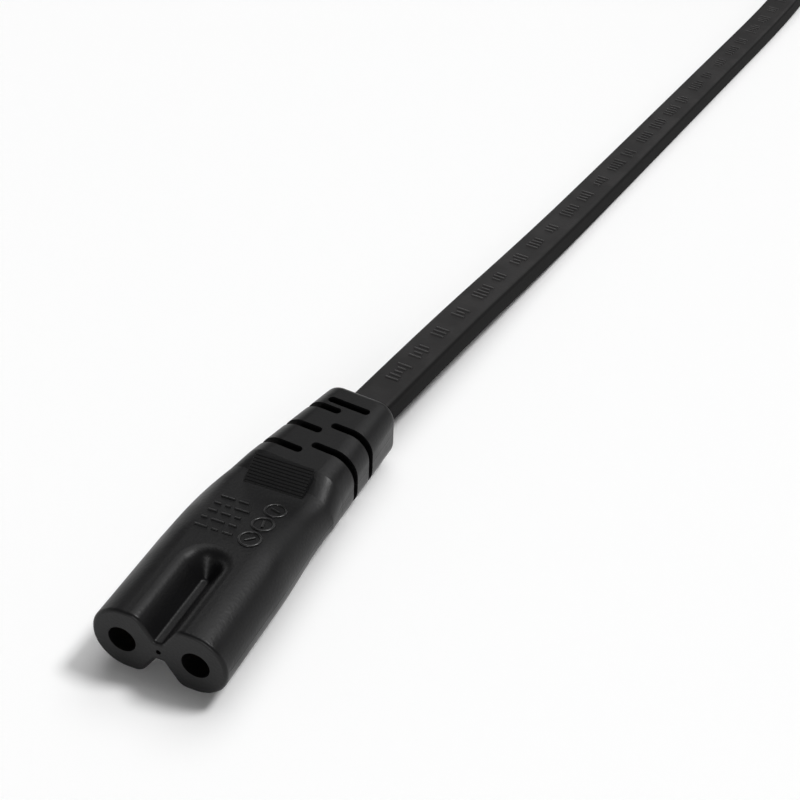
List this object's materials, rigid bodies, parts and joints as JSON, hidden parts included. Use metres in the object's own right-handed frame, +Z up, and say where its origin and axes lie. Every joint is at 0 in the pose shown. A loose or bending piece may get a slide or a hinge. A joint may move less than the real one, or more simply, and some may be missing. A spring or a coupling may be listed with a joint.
{
  "type": "figure eight power connector",
  "caption": "Moulded black figure eight mains connector with a slotted strain relief, on a flat twin cord that ends in a flat two-pin plug.",
  "frame": {"origin": "under the middle of the connector, on the surface that the lead lies on", "axes": "+Y from the mating face back along the nose towards the cord, +Z up"},
  "size_m": [0.0498, 0.3685, 0.0248],
  "materials": {
    "black_pvc": "satin moulded flexible PVC",
    "carrier_plastic": "matt moulded insert",
    "brass": "formed brass",
    "copper": "bare copper strands",
    "core_brown": "coloured insulation",
    "core_blue": "coloured insulation",
    "band_film": "flat black band",
    "plated_pin": "nickel-plated brass",
    "black_sleeve": "smooth sleeve"
  },
  "bodies": {
    "root": {"connector_overmould": "black_pvc", "contact_carrier": "carrier_plastic", "contact_left": "brass", "contact_right": "brass", "wire_left": "copper", "wire_right": "copper", "core_left": "core_brown", "core_right": "core_blue", "cord_run": "black_pvc", "cord_coil": "black_pvc", "cord_tail": "black_pvc", "cord_band": "band_film", "plug_overmould": "black_pvc", "plug_bridge": "carrier_plastic", "pin_left": "plated_pin", "pin_right": "plated_pin", "sleeve_left": "black_sleeve", "sleeve_right": "black_sleeve", "plug_wire_left": "copper", "plug_wire_right": "copper", "plug_core_left": "core_brown", "plug_core_right": "core_blue"}
  },
  "joints": []
}
